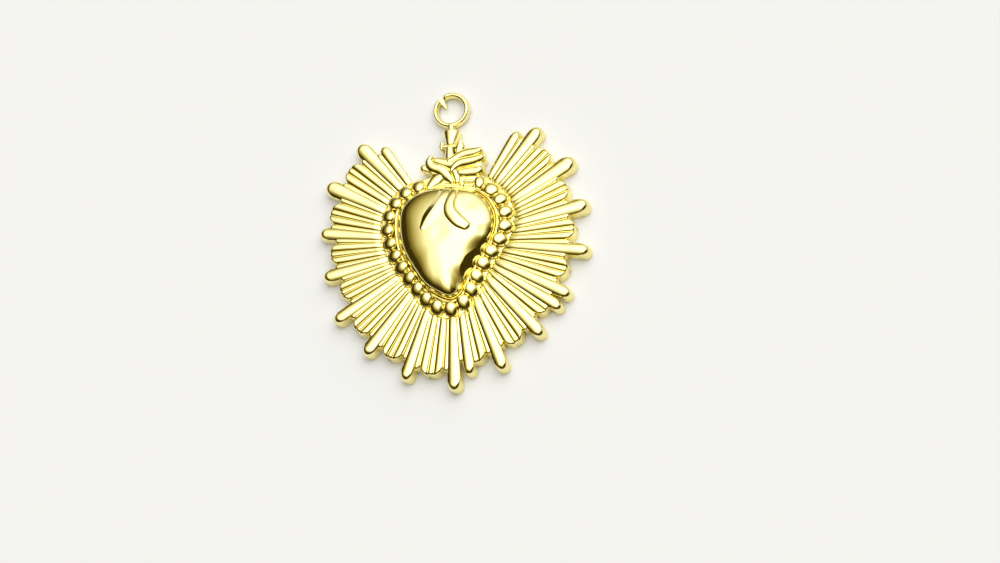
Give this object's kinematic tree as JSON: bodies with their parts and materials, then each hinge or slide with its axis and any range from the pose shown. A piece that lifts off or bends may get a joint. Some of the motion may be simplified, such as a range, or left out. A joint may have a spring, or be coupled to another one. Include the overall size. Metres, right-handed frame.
{
  "type": "sacred heart pendant",
  "caption": "Sacred heart pendant: a domed heart in a ring of beads, set in a fan of long and short rays, with flames, a flared cross and a round hanging eye above it.",
  "frame": {"origin": "the point that the rays fan out from, on the plane of the flat back", "axes": "+Z out of the face, +Y from that point towards the hanging eye, +X to the right seen from the front"},
  "size_m": [0.0336, 0.0385, 0.0043],
  "materials": {
    "gold_metal": "polished gold-coloured plating on a cast metal body"
  },
  "bodies": {
    "root": {"pendant": "gold_metal"}
  },
  "joints": []
}
